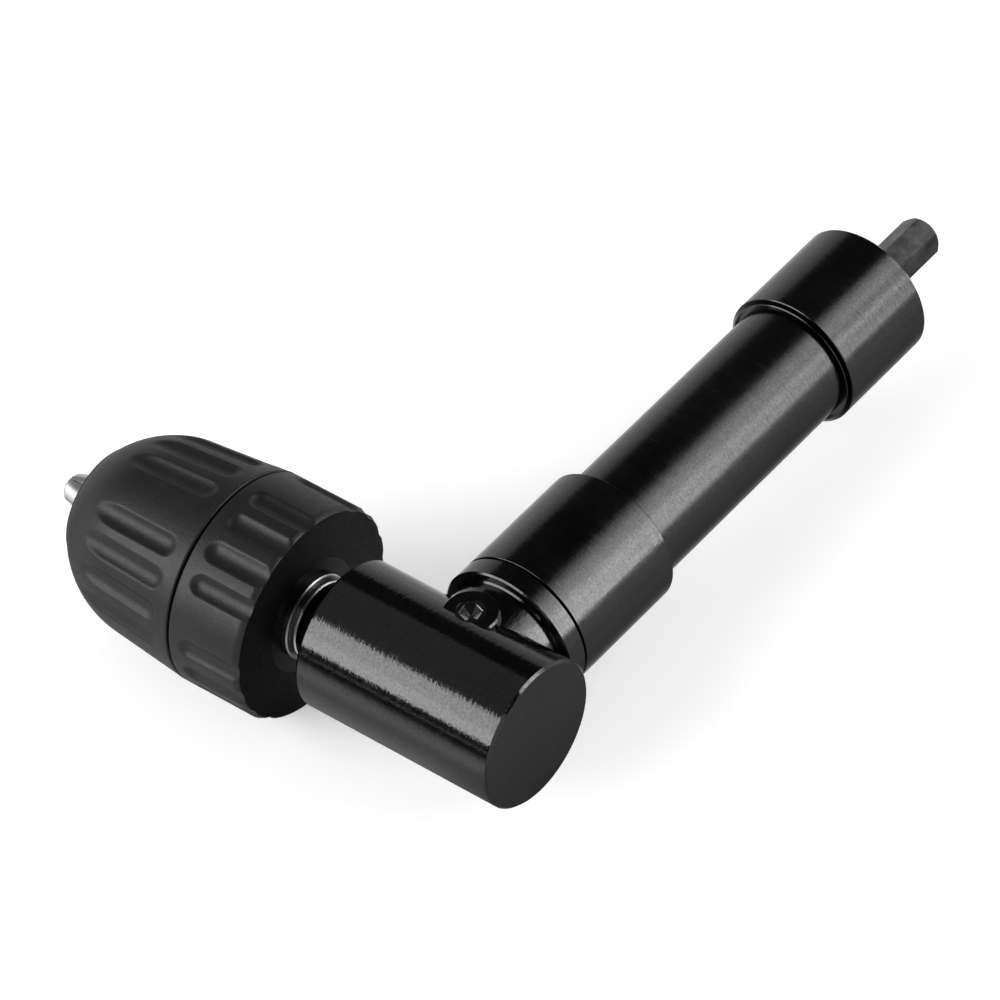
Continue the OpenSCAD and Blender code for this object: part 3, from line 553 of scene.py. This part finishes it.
def make_floor():
    half = FLOOR_SIZE / 2
    mesh = bpy.data.meshes.new("floor")
    corners = [(-half, -half, 0), (half, -half, 0), (half, half, 0), (-half, half, 0)]
    mesh.from_pydata(corners, [], [(0, 1, 2, 3)])
    material, tree, shader = new_material("floor")
    shader.inputs["Base Color"].default_value = (*grey(FLOOR_GREY), 1)
    shader.inputs["Roughness"].default_value = 0.9
    shader.inputs["Specular IOR Level"].default_value = 0.1
    shader.inputs["Emission Color"].default_value = (1, 1, 1, 1)
    tree.links.new(map_range(tree, seen_directly(tree), 0.0, FLOOR_LIFT, start=0.0, end=1.0),
                   shader.inputs["Emission Strength"])
    mesh.materials.append(material)
    floor = add_object("floor", mesh)


def smooth_step(low, high, value):
    share = min(1, max(0, (value - low) / (high - low)))
    return share * share * (3 - 2 * share)


def blend(first, second, share):
    return first + (second - first) * share


def painted_floor_radiance(x, y):
    """The painted radiance that a reflection sees of the floor, x and y metres from the crossing of the axes: a
    painted shadow near the axes and a painted pool of light on the left.
    """
    camera_side = np.interp(math.hypot(min(x, 0), y), *CAMERA_SIDE)
    beyond = blend(np.interp(-x, *LEFT_SIDE), np.interp(y, *FAR_SIDE), smooth_step(*LEFT_TO_FAR, x))
    return float(blend(camera_side, beyond, smooth_step(*CAMERA_TO_FAR, y)))


def painted_floor_reflection(steps=90):
    """A glowing card that only reflections see, with the floor's shadow and light painted on it as the undersides
    reflect them, in points that lie closer together near the axes.
    """
    places = [FLOOR_CARD_REACH * t * abs(t) for t in np.linspace(-1, 1, steps + 1)]
    pairs = [(x, y) for x in places for y in places]
    glow_card("painted_floor_reflection", [(crossing.x + x, crossing.y + y, FLOOR_CARD_HEIGHT) for x, y in pairs],
              grid_faces(steps), [painted_floor_radiance(x, y) for x, y in pairs])


def make_studio():
    make_world()
    make_floor()
    painted_floor_reflection()
    dark = dark_card_material()
    sky_patch("ceiling_card", azimuths=(0, 360), elevations=(CEILING_START, 90), radius=CEILING_R,
              material=dark)
    sky_patch("horizon_card", azimuths=(118, 176), elevations=(-6, 9), radius=HORIZON_R, material=dark)
    sky_patch("far_card", azimuths=(15, 105), elevations=(-3, CEILING_START + 1), radius=FAR_R, glow=FAR_SKY)
    for azimuth, wide, bottom, top, count, share in RIGHT_PARTS:
        high = (top - bottom) / count
        for i in range(count):
            elevation = bottom + (i + 0.5) * high
            softbox(f"right_{-azimuth:.0f}_{elevation:.0f}", azimuth, elevation, wide, high,
                    share * float(np.interp(elevation, *RIGHT_GLOW)))
    softbox("left_key", azimuth=146, elevation=26, wide=50, high=38, radiance=5.8)
    softbox("top_fill", azimuth=97, elevation=60, wide=60, high=22, radiance=0.28)


# Camera, fitted to the photo
CAMERA_FROM_CROSSING = (-0.589345, -0.539515, 0.851435)
CAMERA_RIGHT = (0.61565342, -0.78562348, -0.06137268)
CAMERA_DOWN = (-0.5854935, -0.40391221, -0.70288853)
LENS = 225.13
SENSOR = 36.0
CLIP_START = 0.05


def make_camera():
    lens = bpy.data.cameras.new("camera")
    lens.sensor_width = SENSOR
    lens.lens = LENS
    lens.clip_start = CLIP_START
    camera = add_object("camera", lens)
    right, up = Vector(CAMERA_RIGHT), -Vector(CAMERA_DOWN)
    turn = Matrix((right, up, right.cross(up))).transposed()
    camera.matrix_world = Matrix.Translation(crossing + Vector(CAMERA_FROM_CROSSING)) @ turn.to_4x4()
    bpy.context.scene.camera = camera


make_camera()
make_studio()
materials = make_materials()
dress_nodes(materials)
rear_sleeve(materials["chuck_plastic"], materials["chuck_back"])
front_sleeve(materials["chuck_plastic"])
bpy.context.scene.view_settings.view_transform = "Standard"
